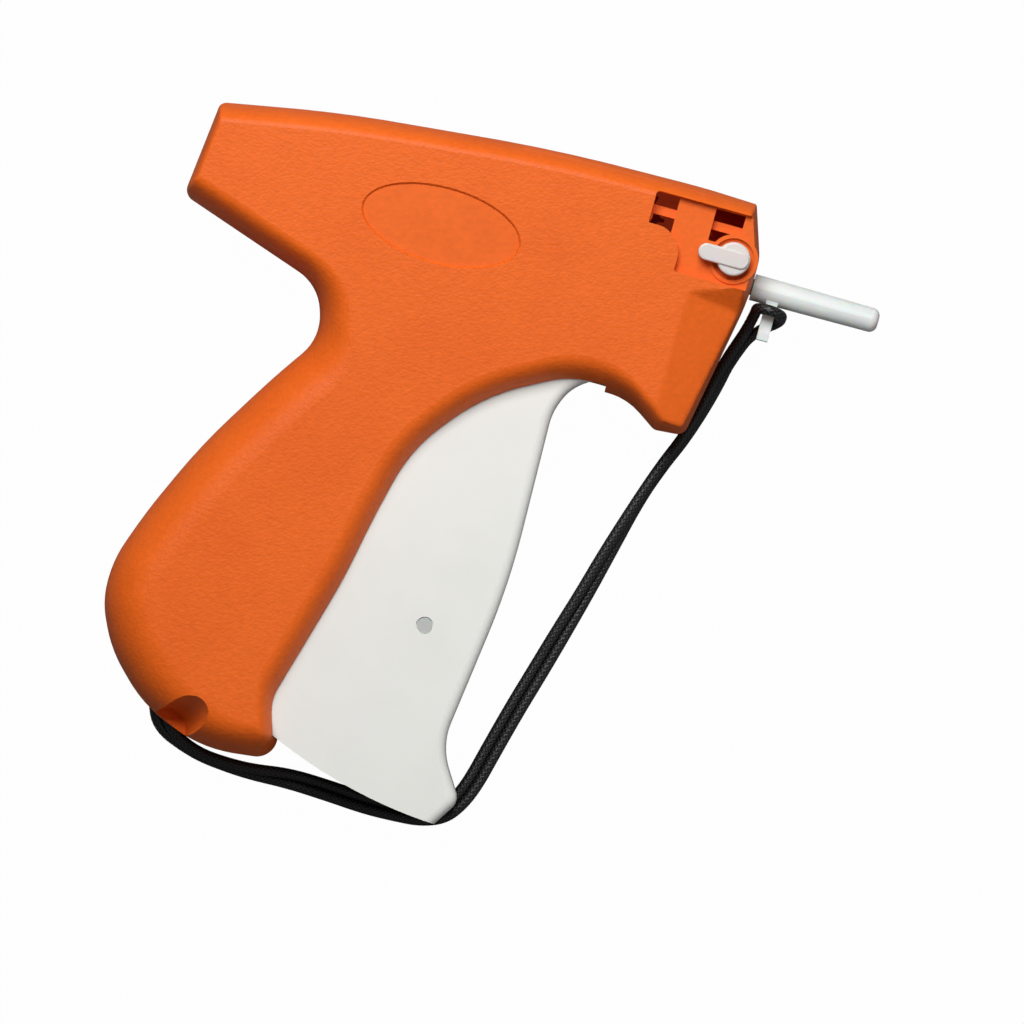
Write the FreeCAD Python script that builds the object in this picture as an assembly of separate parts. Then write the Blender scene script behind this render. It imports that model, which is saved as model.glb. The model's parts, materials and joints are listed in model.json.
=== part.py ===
import FreeCAD
import Part
import math
import os

# Garment tag attacher, lying on its left side.
# X runs forward along the needle, Y is the tool's own "up" and Z points out of its right side.
# Origin: on the table, under the needle axis and in line with the trigger pivot. Millimetres.

V = FreeCAD.Vector
OUT = "parts"
os.makedirs(OUT, exist_ok=True)

# ---------------------------------------------------------------- driving dimensions
THICK = 26.0             # casing, outer face to outer face
MID = THICK / 2          # parting plane, and height of the needle axis
WALL = 2.0               # casing wall
RUN_GAP = 0.05           # radial clearance of a turning fit
SLIDE_GAP = 0.2          # clearance round a sliding or swinging piece
SEAT_GAP = 0.1           # clearance of a piece dropped into its seat

PIVOT_DROP = 21.3        # trigger pivot below the needle axis
PIVOT_R = 2.0
TRIGGER_W = 15.6
TRIGGER_WALL = 2.0
TRIGGER_REACH = 102.1    # pivot to the trigger's lower edge
TRIGGER_HIDE = 4.3       # how far the trigger's rear edge lies inside the casing outline
TRIGGER_EDGE_R = 2.0
SLOT_GAP = 0.3           # trigger to slot
SQUEEZE = 20.0           # trigger travel, degrees

GEAR_M = 0.8             # module of the sector and the pinion
SECTOR_TEETH = 95
PINION_TEETH = 11
RACK_M = 1.0             # module of the large gear and the rack
GEAR_TEETH = 29
PRESSURE = math.radians(20)
BACKLASH = 0.22
SECTOR_T = 3.0
SECTOR_RIM = 3.3
GEAR_T = 4.0
GEAR_GAP = 0.3           # end gap between neighbours in the gear train
SHAFT_R = 1.5
RACK_DROP = 6.0          # rack pitch line below the needle axis

SLIDE_LOW = 2.0          # slide's left side below the needle axis
SLIDE_HIGH = 2.6
BAR_H = 2.9
ROD_R = 0.75
ROD_TIP = 6.0            # tip at rest
BLOCK_L = 9.0
BLOCK_TOP = 2.2

BLOCK_BORE = 1.5         # rear wall of the block behind the rod
RACK_TAIL = 2.2          # room for the rubber pad behind the rack
CLAMP_R = 0.9            # screw that holds the rod in the block

WHEEL_AT = (2.5, 8.2)    # feed wheel axis
WHEEL_R = 5.2
WHEEL_T = 1.9
WHEEL_TEETH = 12
WHEEL_CUT = 1.4          # depth of the gaps between the teeth
RATCHET_R = 4.6
RATCHET_CUT = 0.9
RATCHET_HUB_R = 2.2
AXLE_R = 1.0
AXLE_START = 1.2
PAWL_X = -36.5
PAWL_PIN_R = 0.8
PAWL_T = 2.0
DETENT_L = 8.0
DETENT_FOOT_L = 1.7

SPRING_COIL_R = 3.6      # trigger's return spring
SPRING_WIRE_R = 0.5
SPRING_TURNS = 11
SPRING_END_X = -76.0
SEAT_R = 5.0
SEAT_T = 2.0
SEAT_PEG = 5.0

SCREW_R = 1.5
SCREW_HEAD_R = 2.8
SCREW_HEAD_T = 1.8
SCREW_SINK = 0.4         # heads below the left face
SCREW_REACH = 8.0        # screw holes beyond the parting plane
BOSS_WALL = 1.5
SCREWS = [(-79.0, -10.2), (-44.0, 8.6), (17.0, -21.0), (-50.0, -33.0), (-57.0, -111.0)]
SHAFT_SINK = 1.0         # pivot pin and gear shaft end this far inside the outer faces

HUB_X = (15.6, 27.4)
HUB_HALF = 2.4           # hub half width across Z
HUB_TOP = 3.4
HUB_LOW = 2.8
HUB_NOSE_R = 1.7
NEEDLE_R = 1.1
NEEDLE_SINK = 3.2        # needle starts this far inside the hub
NEEDLE_TIP = 50.5
NEEDLE_POINT = 4.5
CAP_BASE_R = 2.75
CAP_TIP_R = 2.5
CAP_X = (28.7, 55.4)
CAP_END_T = 2.6
TAB_X = (32.2, 34.6)     # tab under the cap that the cord goes round
TAB_LOW = -10.1
TAB_HALF = 2.0
TAB_FOOT = (1.6, 1.2)    # its foot: height, and how far it stands out

KNOB_AT = (23.2, 4.1)
KNOB_R = 3.45
KNOB_SHAFT_R = 2.2
KNOB_BAR = (7.4, 3.5)    # lever reach from the knob's centre, and width
KNOB_TOP = 1.0           # above the casing face
BAR_STEP = 0.5           # lever bar above the round head
WELL_R = 4.3             # round well under the knob, and the thin rim round it
WELL_T = 0.6
RIM_R = 5.1
RIM_T = 0.35
CLIP_T = 0.6
CLIP_REACH = 1.0         # spring ring beyond the knob's shaft
CLIP_BITE = 0.5          # depth of its groove

# ---------------------------------------------------------------- casing outline
# Clockwise from the tail's top corner: x, y, corner radius (0 = as large as fits),
# and the side rounding of the stretch that follows.
HEAD = [
    (-86.4, 7.4, 1.6, 4.5),
    (-62.0, 11.95, 0, 4.5),
    (-18.0, 16.35, 0, 4.5),
    (14.0, 16.95, 0, 4.5),
    (25.0, 16.55, 0.8, 2.5),
    (28.6, 5.8, 10, 2.5),
    (28.5, -3.0, 0, 2.5),
    (23.2, -33.1, 2.4, 3.0),
    (17.0, -33.6, 2.0, 3.5),
    (10.0, -28.9, 0, 6.0),
]
# arch and front of the grip, which the trigger's rear edge follows
GRIP_FRONT = [
    (-1.9, -28.8, 0, 6.0),
    (-17.4, -37.2, 0, 6.0),
    (-28.4, -51.0, 0, 6.0),
    (-32.1, -66.1, 0, 6.0),
    (-34.6, -80.0, 0, 6.0),
]
BUTT_AND_BACK = [
    (-42.5, -108.3, 8, 4.0),
    (-39.0, -119.4, 4.5, 7.0),
    (-54.9, -121.3, 0, 9.0),
    (-68.8, -115.9, 0, 10.0),
    (-78.2, -106.6, 0, 10.0),
    (-82.6, -97.3, 0, 10.0),
    (-82.6, -88.7, 0, 10.0),
    (-78.9, -77.9, 0, 10.0),
    (-71.6, -61.5, 0, 10.0),
    (-60.9, -43.9, 0, 10.0),
    (-53.8, -33.7, 11, 7.0),
    (-57.1, -23.4, 11, 5.0),
    (-88.6, -12.9, 2.5, 2.0),
]
OUTLINE = HEAD + GRIP_FRONT + BUTT_AND_BACK

# Trigger's front edge from the pivot down: x, y, corner radius
TRIGGER_FRONT = [
    (2.5, -20.5, 2.1),
    (6.0, -24.5, 2.1),
    (-1.7, -30.0, 0),
    (-4.0, -35.6, 0),
    (-3.1, -72.0, 150.0),
    (-7.6, -107.6, 14.0),
    (-1.2, -117.6, 2.8),
    (-6.2, -125.5, 0),
]
TRIGGER_REAR_RUN = 1.35  # the rear edge runs on past its last corner, as a share of that stretch
EYE_WALL = 4.5
EYE_RING = 2.0
ARM_ANGLE = (222, 232)   # where the sector's arm joins the trigger's side
CROSS_PIN_AT = (-17.5, -84.7)
CROSS_PIN_R = 1.6
CROSS_PIN_SINK = 0.2
CROSS_PIN_RING = (0.2, 0.4)   # width and depth of the gap round the pin's ends

# ---------------------------------------------------------------- casing details
SLOT_END = (5.2, -24.4)  # front end and top of the trigger's opening
CHANNEL_HALF = 1.4       # way down for the fasteners' bars
THREAD_X = (9.9, 11.6)   # way down for their threads, and on to the nose
THREAD_HALF = 0.75
BADGE_AT = (-36.0, -5.2)
BADGE_R = (16.3, 7.5)
BADGE_T = 0.5
BADGE_SLOPE = 0.4        # the badge's wall leans out by this much
RECESS_T = 2.0           # depth of the head recess
FLOOR_T = 2.0            # wall under the recess
RECESS = [(4.5, 6.7), (4.5, 13.5), (40.0, 13.5), (40.0, -1.5), (12.1, -1.5), (12.1, 3.3), (8.6, 6.7)]
RECESS_RADII = [0.3, 0.8, 0.5, 0.5, 0.5, 0, 0]
WINDOWS = [(4.6, 9.5, 5.0, 13.4), (17.2, 23.4, 6.5, 13.2)]
WINDOW_RIB = (8.9, 10.7)
BEVEL_X = 16.1           # flat facet in front, and the steeper one that closes it at the top
BEVEL_SLOPE = 18.0
BEVEL_TOP = ((17.8, -4.2), (25.1, -1.5))
BEVEL_TOP_SLOPE = 35.0
SCOOP_AT = (-59.2, -115.3)
SCOOP_R = 4.1
SCOOP_WALL = 1.6
SCOOP_HEADING = 227.5    # way it runs down, seen from the right side
SCOOP_TILT = 62.0
SCOOP_L = (8.0, 11.0)    # before and after SCOOP_AT
POST_AT = (-67.5, -108.5)
POST_R = 1.5
POST_LOW = 2.6
POST_HEAD = (0.8, 0.8)   # how far its head stands out, and thickness
NOTCH = [POST_AT, (-66.7, -111.5), (-65.9, -114.5), (-65.2, -117.5)]   # way out for the cord
NOTCH_R = 4.2
NOTCH_FLOOR = 9.0
STOP_T = 1.4             # rib behind the rubber pad
GUIDE_X = (-4.0, -2.0)
GUIDE_Y = (-1.3, 2.4)
GUIDE_SPAN = (2.1, 3.5)  # guide plate below and above the needle axis
BUMPER_Y = (-4.0, 2.0)
BUMPER_HALF = 3.5
CUTTER_T = 0.7
CUTTER_Y = (-3.8, 2.0)

# ---------------------------------------------------------------- cord
CORD_D = 2.2
STRAND_HALF = 1.2        # half the distance between the two strands
CRIMP_R = 2.9
CRIMP_Z = (4.3, 6.7)
CRIMP_START = 2.0
# Middle line of the doubled cord from the crimp at the butt to the nose: x, y, height of the lower
# strand, and half the distance between the strands seen from above
BUNDLE = [
    (-66.0, -114.2, 5.5, 1.2),
    (-65.3, -117.0, 5.4, 1.2),
    (-63.2, -119.6, 3.6, 0.85),
    (-59.4, -121.6, 1.8, 0.45),
    (-55.3, -122.9, 1.2, 0.35),
    (-51.0, -123.4, 1.2, 0.4),
    (-44.3, -123.6, 1.2, 0.6),
    (-36.2, -122.8, 1.2, 1.05),
    (-27.5, -123.1, 1.2, 1.2),
    (-19.6, -123.6, 1.2, 1.2),
    (-13.3, -123.4, 1.2, 1.2),
    (-7.9, -123.0, 1.2, 1.2),
    (-3.5, -121.3, 1.2, 1.2),
    (-1.0, -117.8, 1.2, 1.2),
    (0.8, -113.2, 1.2, 1.2),
    (2.5, -106.1, 1.2, 1.2),
    (4.9, -96.6, 1.2, 1.2),
    (7.3, -88.2, 1.2, 1.2),
    (9.6, -79.8, 1.2, 1.05),
    (12.3, -70.1, 1.2, 0.85),
    (14.7, -60.5, 1.2, 0.7),
    (18.1, -47.9, 1.2, 0.2),
    (21.0, -39.6, 1.2, 0.25),
    (23.45, -33.95, 1.2, 0.3),
    (25.65, -26.8, 1.4, 0.4),
    (27.0, -20.6, 2.6, 0.6),
]
# Up to the cap's tab, once round its neck and back down
WRAP = [
    (27.2, -16.9, 6.1),
    (28.3, -13.4, 7.7),
    (29.5, -9.9, 9.2),
    (30.1, -7.7, 10.1),
    (30.5, -5.8, 11.5),
    (30.7, -4.5, 13.5),
    (30.65, -4.0, 15.8),
    (32.2, -3.8, 17.35),
    (34.4, -3.85, 17.35),
    (35.95, -4.2, 15.8),
    (36.05, -4.6, 13.4),
    (36.0, -5.2, 11.1),
    (35.1, -6.1, 9.2),
    (33.5, -7.2, 8.2),
    (31.85, -8.8, 7.5),
    (30.5, -10.7, 6.8),
    (29.3, -13.8, 5.6),
    (28.2, -17.2, 4.0),
]

# ---------------------------------------------------------------- values worked out
PIVOT = (0.0, -PIVOT_DROP)
SECTOR_R = GEAR_M * SECTOR_TEETH / 2
PINION_R = GEAR_M * PINION_TEETH / 2
GEAR_R = RACK_M * GEAR_TEETH / 2
CENTRES = SECTOR_R - PINION_R
GEAR_Y = -RACK_DROP - GEAR_R
GEAR_X = -math.sqrt(CENTRES**2 - (GEAR_Y + PIVOT_DROP)**2)
GEAR_AT = (GEAR_X, GEAR_Y)
MESH_ANGLE = math.degrees(math.atan2(GEAR_Y + PIVOT_DROP, GEAR_X))
RATIO = SECTOR_TEETH / PINION_TEETH
STROKE = math.radians(SQUEEZE) * RATIO * GEAR_R
TRIGGER_Z = (MID - TRIGGER_W / 2, MID + TRIGGER_W / 2)
SECTOR_Z = (TRIGGER_Z[0] + TRIGGER_WALL, TRIGGER_Z[0] + TRIGGER_WALL + SECTOR_T)
PINION_Z = (SECTOR_Z[0] + GEAR_GAP, SECTOR_Z[1] + GEAR_GAP)
GEAR_Z = (PINION_Z[1] + GEAR_GAP, PINION_Z[1] + GEAR_GAP + GEAR_T)
SLIDE_Z = (MID - SLIDE_LOW, MID + SLIDE_HIGH)
RACK_ROOT = -RACK_DROP + 1.25 * RACK_M
BAR_TOP = RACK_ROOT + BAR_H
MESH_END = 3.3           # rack that lies beyond the mesh point at either end of the stroke
RACK_X = (GEAR_X - STROKE - MESH_END, GEAR_X + MESH_END)
BLOCK_X = (RACK_X[0], RACK_X[0] + BLOCK_L)
CLAMP_X = (BLOCK_X[0] + BLOCK_X[1]) / 2
PAWL_Z = (SLIDE_Z[0] - 0.3 - PAWL_T, SLIDE_Z[0] - 0.3)
PAWL_AT = (PAWL_X, RACK_ROOT + BAR_H / 2)
RATCHET_Z = PAWL_Z
WHEEL_Z = (RATCHET_Z[1] + 0.1, RATCHET_Z[1] + 0.1 + WHEEL_T)
DETENT_TIP = WHEEL_AT[0] - RATCHET_R - SLIDE_GAP
DETENT_FOOT = (DETENT_TIP - DETENT_L + 0.1 - DETENT_FOOT_L, DETENT_TIP - DETENT_L + 0.1)
SLOT_Z = (TRIGGER_Z[0] - SLOT_GAP, TRIGGER_Z[1] + SLOT_GAP)
CHANNEL_X = (ROD_TIP, HUB_X[0] - 0.2)
NOSE_HOLE_R = HUB_NOSE_R + 0.3
RECESS_Z = THICK - RECESS_T
KNOB_FOOT = MID - HUB_HALF
CLIP_Z = (RECESS_Z - FLOOR_T - 0.1 - CLIP_T, RECESS_Z - FLOOR_T - 0.1)
SCREW_END = MID + SCREW_REACH
STOP_X = RACK_X[0] - RACK_TAIL
BUMPER_X = (STOP_X, RACK_X[0] - 0.2)
GUIDE_Z = (MID - GUIDE_SPAN[0], MID + GUIDE_SPAN[1])
CUTTER_X = (HUB_X[0] - 0.2 - CUTTER_T, HUB_X[0] - 0.2)
CUTTER_Z = (5.0, MID - 2.0)


# ---------------------------------------------------------------- helpers
def save(name, shape):
    """Write one sub-part and print its size."""
    shape.exportStep(os.path.join(OUT, name + ".step"))
    solids = shape.Solids
    print(f"{name:22s} solids {len(solids)}  volume {shape.Volume / 1000:8.3f} cm3  valid {shape.isValid()}")


def disc(centre, radius, z0, z1):
    return Part.makeCylinder(radius, z1 - z0, V(centre[0], centre[1], z0))


def ring(centre, outer, inner, z0, z1):
    return disc(centre, outer, z0, z1).cut(disc(centre, inner, z0 - 1, z1 + 1))


def block(x0, x1, y0, y1, z0, z1):
    return Part.makeBox(x1 - x0, y1 - y0, z1 - z0, V(x0, y0, z0))


def rod_x(x0, x1, radius, y=0.0, z=MID):
    return Part.makeCylinder(radius, x1 - x0, V(x0, y, z), V(1, 0, 0))


def prism(points, z0, z1):
    """Straight-sided solid between two heights."""
    corners = [V(x, y, z0) for x, y in points]
    return Part.Face(Part.makePolygon(corners + corners[:1])).extrude(V(0, 0, z1 - z0))


def mirrored(shape):
    """The same shape on the casing's other side."""
    return shape.mirror(V(0, 0, MID), V(0, 0, 1))


def polar(centre, radius, degrees):
    a = math.radians(degrees)
    return (centre[0] + radius * math.cos(a), centre[1] + radius * math.sin(a))


def inset(corners, distances):
    """Corners of a clockwise outline after side i has moved inward by distances[i]."""
    sides = []
    for i, (x, y) in enumerate(corners):
        nx, ny = corners[(i + 1) % len(corners)]
        length = math.hypot(nx - x, ny - y)
        ux, uy = (nx - x) / length, (ny - y) / length
        sides.append((x + uy * distances[i], y - ux * distances[i], ux, uy))
    moved = []
    for i in range(len(corners)):
        ax, ay, aux, auy = sides[i - 1]
        bx, by, bux, buy = sides[i]
        t = ((bx - ax) * buy - (by - ay) * bux) / (aux * buy - auy * bux)
        moved.append((ax + t * aux, ay + t * auy))
    return moved


def rounded(corners, radii, z):
    """Closed wire of straight sides and tangent arcs. A radius of 0 means as large as fits."""
    count = len(corners)
    starts, mids, ends = [], [], []
    for i in range(count):
        p, q, r = (V(*corners[(i + k) % count], z) for k in (-1, 0, 1))
        back, ahead = (p - q), (r - q)
        share = 0.46 * min(back.Length, ahead.Length)
        back.normalize()
        ahead.normalize()
        turn = math.pi - back.getAngle(ahead)
        reach = share if radii[i] == 0 else min(share, radii[i] * math.tan(turn / 2))
        radius = reach / math.tan(turn / 2)
        bisector = (back + ahead).normalize()
        starts.append(q + back * reach)
        ends.append(q + ahead * reach)
        mids.append(q + bisector * (radius / math.cos(turn / 2) - radius))
    edges = []
    for i in range(count):
        edges.append(Part.Arc(starts[i], mids[i], ends[i]).toShape())
        edges.append(Part.LineSegment(ends[i], starts[(i + 1) % count]).toShape())
    return Part.Wire(edges)


def casing_section(angle, skin):
    """Outline of the casing where its side has curved inward by angle, skin mm under the surface."""
    corners = [row[:2] for row in OUTLINE]
    curve = 1 - math.cos(math.radians(angle))
    shifts = [skin + max(row[3] - skin, 1.0) * curve for row in OUTLINE]
    radii = []
    for i, row in enumerate(OUTLINE):
        p, q, r = OUTLINE[i - 1], row, OUTLINE[(i + 1) % len(OUTLINE)]
        cross = (q[0] - p[0]) * (r[1] - q[1]) - (q[1] - p[1]) * (r[0] - q[0])
        shift = (shifts[i - 1] + shifts[i]) / 2
        grown = row[2] + (shift if cross > 0 else -shift)
        radii.append(0 if row[2] == 0 else max(grown, 0.6))
    z = MID + (MID - skin) * math.sin(math.radians(angle))
    return rounded(inset(corners, shifts), radii, z)


def casing_half(skin):
    """Right half of the casing's outer form (skin 0) or of its hollow (skin = wall)."""
    return Part.makeLoft([casing_section(a, skin) for a in (0, 22.5, 45, 67.5, 90)], True, False)


def inv(angle):
    return math.tan(angle) - angle


def tooth(centre, module, teeth, degrees, low, high, play):
    """Outline of one involute tooth between two radii. play > 0 thins it, play < 0 widens it."""
    pitch = module * teeth / 2
    base = pitch * math.cos(PRESSURE)
    half = math.pi / (2 * teeth) - play / (2 * pitch) + inv(PRESSURE)
    flank = []
    for k in range(5):
        r = low + (high - low) * k / 4
        spread = half - inv(math.acos(min(1.0, base / r)))
        flank.append((r, math.degrees(spread)))
    left = [polar(centre, r, degrees + a) for r, a in flank]
    right = [polar(centre, r, degrees - a) for r, a in reversed(flank)]
    return left + right


def gear(centre, module, teeth, first, z0, z1):
    """External spur gear with one tooth centred at the angle first."""
    pitch = module * teeth / 2
    low = pitch - 1.25 * module
    body = [disc(centre, low + 0.02, z0, z1)]
    for k in range(teeth):
        outline = tooth(centre, module, teeth, first + 360 * k / teeth, low, pitch + module, BACKLASH)
        body.append(prism(outline, z0, z1))
    return body[0].fuse(body[1:])


def band(centre, inner, outer, a0, a1, z0, z1):
    """Part of a flat ring between two angles."""
    far = outer * 1.5
    steps = 6
    fan = [polar(centre, far, a0 + (a1 - a0) * k / steps) for k in range(steps + 1)]
    return ring(centre, outer, inner, z0, z1).common(prism([centre] + fan, z0 - 1, z1 + 1))


# ---------------------------------------------------------------- trigger and its sector
def trigger_outline(hide, wall):
    """Trigger seen from the side: front edge wall mm inside the surface, rear edge hide mm inside
    the casing outline."""
    corners = inset([row[:2] for row in OUTLINE], [hide] * len(OUTLINE))
    first, last = len(HEAD), len(HEAD) + len(GRIP_FRONT)
    rear = corners[first:last]
    (x1, y1), (x2, y2) = corners[last - 1:last + 1]
    rear.append((x1 + (x2 - x1) * TRIGGER_REAR_RUN, y1 + (y2 - y1) * TRIGGER_REAR_RUN))
    front = [row[:2] for row in TRIGGER_FRONT]
    loop = front + rear[::-1]
    front_sides = len(front) - 1
    shifts = [wall] * front_sides + [0] * (len(loop) - front_sides)
    radii = [row[2] for row in TRIGGER_FRONT] + [0] * len(rear)
    return loop, shifts, radii


def trigger_slab(hide, wall, z0, z1):
    loop, shifts, radii = trigger_outline(hide, wall)
    radii = [r if r == 0 else r + 0.01 for r in radii]
    radii[len(TRIGGER_FRONT) - 1] = 0.5
    return Part.Face(rounded(inset(loop, shifts), radii, z0)).extrude(V(0, 0, z1 - z0))


def make_trigger():
    z0, z1 = TRIGGER_Z
    body = trigger_slab(TRIGGER_HIDE, 0, z0, z1).common(disc(PIVOT, TRIGGER_REACH, z0, z1))
    front = []
    for edge in body.Edges:
        box, mid = edge.BoundBox, edge.CenterOfMass
        flat = box.ZLength < 0.01
        at_front = mid.x > -9 and mid.y < -28
        on_end = abs(math.hypot(mid.x - PIVOT[0], mid.y - PIVOT[1]) - TRIGGER_REACH) < 0.3
        if flat and at_front and not on_end:
            front.append(edge)
    body = body.makeFillet(TRIGGER_EDGE_R, front)
    eye = disc(PIVOT, PIVOT_R + EYE_WALL, z0, z1)
    hollow = trigger_slab(TRIGGER_HIDE + 10, TRIGGER_WALL, z0 + TRIGGER_WALL, z1 - TRIGGER_WALL)
    hollow = hollow.common(disc(PIVOT, TRIGGER_REACH - TRIGGER_WALL, z0, z1))
    body = body.fuse(eye).cut(hollow.cut(disc(PIVOT, PIVOT_R + EYE_RING, z0, z1)))
    inner_eye = ring(PIVOT, PIVOT_R + EYE_WALL + 0.5, PIVOT_R + EYE_RING, z0 + TRIGGER_WALL, z1 - TRIGGER_WALL)
    body = body.cut(inner_eye)

    s0, s1 = SECTOR_Z
    tip = SECTOR_R - GEAR_M
    root = SECTOR_R + 1.25 * GEAR_M
    rim = root + SECTOR_RIM
    end_run = 7
    toothed = band(PIVOT, tip, rim, MESH_ANGLE - end_run, MESH_ANGLE + SQUEEZE + end_run, s0, s1)
    pitch_angle = 360 / SECTOR_TEETH
    spaces = []
    count = int((SQUEEZE + 18) / pitch_angle)
    for k in range(-2, count - 1):
        outline = tooth(PIVOT, GEAR_M, SECTOR_TEETH, MESH_ANGLE + k * pitch_angle, tip - 0.1, root, -BACKLASH)
        spaces.append(prism(outline, s0 - 1, s1 + 1))
    toothed = toothed.cut(spaces[0].fuse(spaces[1:]))
    arm = band(PIVOT, tip + 0.4, rim, MESH_ANGLE + SQUEEZE + end_run - 0.5, ARM_ANGLE[1], s0, s1)
    foot = band(PIVOT, tip + 0.4, rim, *ARM_ANGLE, s0 - TRIGGER_WALL, s1)
    body = body.fuse([toothed, arm, foot]).removeSplitter()
    body = body.cut(disc(PIVOT, PIVOT_R + RUN_GAP, z0 - 1, z1 + 1))
    body = body.cut(disc(CROSS_PIN_AT, CROSS_PIN_R, z0 - 1, z1 + 1))
    width, depth = CROSS_PIN_RING
    ends = [disc(CROSS_PIN_AT, CROSS_PIN_R + width, z0 - 1, z0 + depth),
            disc(CROSS_PIN_AT, CROSS_PIN_R + width, z1 - depth, z1 + 1)]
    return body.cut(ends)


# ---------------------------------------------------------------- pieces inside
def make_cluster():
    """Pinion and large gear in one moulding."""
    pinion = gear(GEAR_AT, GEAR_M, PINION_TEETH, MESH_ANGLE, PINION_Z[0], GEAR_Z[0] + 0.01)
    pitch_angle = 360 / GEAR_TEETH
    wheel = gear(GEAR_AT, RACK_M, GEAR_TEETH, 90 + pitch_angle / 2, *GEAR_Z)
    web = ring(GEAR_AT, GEAR_R - 4, SHAFT_R + 2.5, GEAR_Z[0] + 1.6, GEAR_Z[1] + 1)
    both = wheel.cut(web).fuse(pinion)
    return both.cut(disc(GEAR_AT, SHAFT_R + RUN_GAP, PINION_Z[0] - 1, GEAR_Z[1] + 1))


def make_slide():
    """Bar with a rack under it, and at its tail the block that holds the rod."""
    x0, x1 = RACK_X
    z0, z1 = SLIDE_Z
    bar = block(x0, x1, RACK_ROOT, BAR_TOP, z0, z1)
    block_solid = block(BLOCK_X[0], BLOCK_X[1], RACK_ROOT, BLOCK_TOP, z0, z1)
    pieces = [block_solid]
    pitch = math.pi * RACK_M
    slope = math.tan(PRESSURE)
    half = pitch / 4 - BACKLASH / 4
    count = int((STROKE + MESH_END) / pitch) + 2
    for k in range(-1, count):
        x = GEAR_X - k * pitch
        top, low = 1.25 * RACK_M, RACK_M
        outline = [(x - half - top * slope, RACK_ROOT), (x + half + top * slope, RACK_ROOT),
                   (x + half - low * slope, -RACK_DROP - low), (x - half + low * slope, -RACK_DROP - low)]
        if x - half - top * slope > x0 and x + half + top * slope < x1:
            pieces.append(prism(outline, z0, z1))
    pieces.append(disc(PAWL_AT, PAWL_PIN_R + 1.2, PAWL_Z[1] + 0.05, z0 + 0.5))
    slide = bar.fuse(pieces).removeSplitter()
    slide = slide.cut(rod_x(x0 + BLOCK_BORE, BLOCK_X[1] + 1, ROD_R))
    slide = slide.cut(disc(PAWL_AT, PAWL_PIN_R, PAWL_Z[0], z1 + 1))
    return slide.cut(Part.makeCylinder(CLAMP_R, BLOCK_TOP + 1, V(CLAMP_X, 0, MID), V(0, 1, 0)))


def make_clamp_screw():
    """Set screw that bites on the rod from above."""
    length = BLOCK_TOP - ROD_R
    screw = Part.makeCylinder(CLAMP_R, length, V(CLAMP_X, ROD_R, MID), V(0, 1, 0))
    slot = block(CLAMP_X - CLAMP_R, CLAMP_X + CLAMP_R, BLOCK_TOP - 0.5, BLOCK_TOP, MID - 0.15, MID + 0.15)
    return screw.cut(slot)


def make_pawl():
    """Small lever on the slide whose nose passes just under the ratchet."""
    x, y = PAWL_AT
    nose = WHEEL_AT[1] - RATCHET_R - SLIDE_GAP
    arm = prism([(x - 1.4, y), (x + 1.4, y), (x + 0.9, nose), (x - 0.5, nose)], *PAWL_Z)
    lever = arm.fuse(disc(PAWL_AT, PAWL_PIN_R + 1.0, *PAWL_Z))
    return lever.cut(disc(PAWL_AT, PAWL_PIN_R + RUN_GAP, PAWL_Z[0] - 1, PAWL_Z[1] + 1))


def make_pawl_pin():
    pin = disc(PAWL_AT, PAWL_PIN_R, PAWL_Z[0] - 0.3, SLIDE_Z[1])
    return pin.fuse(disc(PAWL_AT, PAWL_PIN_R + 0.5, PAWL_Z[0] - 0.8, PAWL_Z[0] - 0.2))


def make_ratchet():
    """Saw-toothed wheel."""
    pitch = 360 / WHEEL_TEETH
    root = RATCHET_R - RATCHET_CUT
    points = []
    for k in range(WHEEL_TEETH):
        points.append(polar(WHEEL_AT, RATCHET_R, 270 - k * pitch))
        points.append(polar(WHEEL_AT, root, 270 - k * pitch - 3))
    wheel = prism(points, *RATCHET_Z)
    wheel = wheel.fuse(disc(WHEEL_AT, RATCHET_HUB_R, RATCHET_Z[1] - 0.5, WHEEL_Z[0]))
    return wheel.cut(disc(WHEEL_AT, AXLE_R + RUN_GAP, RATCHET_Z[0] - 1, WHEEL_Z[1] + 1))


def make_feed_wheel():
    """Star wheel that carries the strip of fasteners down."""
    pitch = 360 / WHEEL_TEETH
    points = []
    for k in range(WHEEL_TEETH):
        a = 270 - k * pitch
        points += [polar(WHEEL_AT, WHEEL_R - WHEEL_CUT, a + 9), polar(WHEEL_AT, WHEEL_R, a + 3),
                   polar(WHEEL_AT, WHEEL_R, a - 3), polar(WHEEL_AT, WHEEL_R - WHEEL_CUT, a - 9)]
    wheel = prism(points, *WHEEL_Z)
    return wheel.cut(disc(WHEEL_AT, AXLE_R + RUN_GAP, WHEEL_Z[0] - 1, WHEEL_Z[1] + 1))


def make_detent():
    """Leaf spring whose tip rides just off the ratchet's teeth."""
    tip, root = DETENT_TIP, DETENT_TIP - DETENT_L
    y = WHEEL_AT[1]
    z0, z1 = RATCHET_Z[0] + 0.2, RATCHET_Z[1] - 0.2
    leaf = prism([(tip, y + 1.0), (root, y + 3.4), (root, y + 3.0), (tip, y + 0.6)], z0, z1)
    return leaf.fuse(block(*DETENT_FOOT, y + 2.0, y + 4.4, z0, z1))


def make_spring():
    """Coil spring between the cross pin and its seat, as turns of wire along its axis."""
    x0 = SPRING_END_X + SEAT_T + SPRING_WIRE_R
    x1 = CROSS_PIN_AT[0] - CROSS_PIN_R - SPRING_WIRE_R - 0.1
    y = CROSS_PIN_AT[1]
    helix = Part.makeHelix((x1 - x0) / SPRING_TURNS, x1 - x0, SPRING_COIL_R)
    section = Part.Wire(Part.makeCircle(SPRING_WIRE_R, V(SPRING_COIL_R, 0, 0), V(0, 1, 0)))
    coil = Part.Wire(helix.Edges).makePipeShell([section], True, True)
    coil.rotate(V(0, 0, 0), V(0, 1, 0), 90)
    coil.translate(V(x0, y, MID))
    return coil


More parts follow.
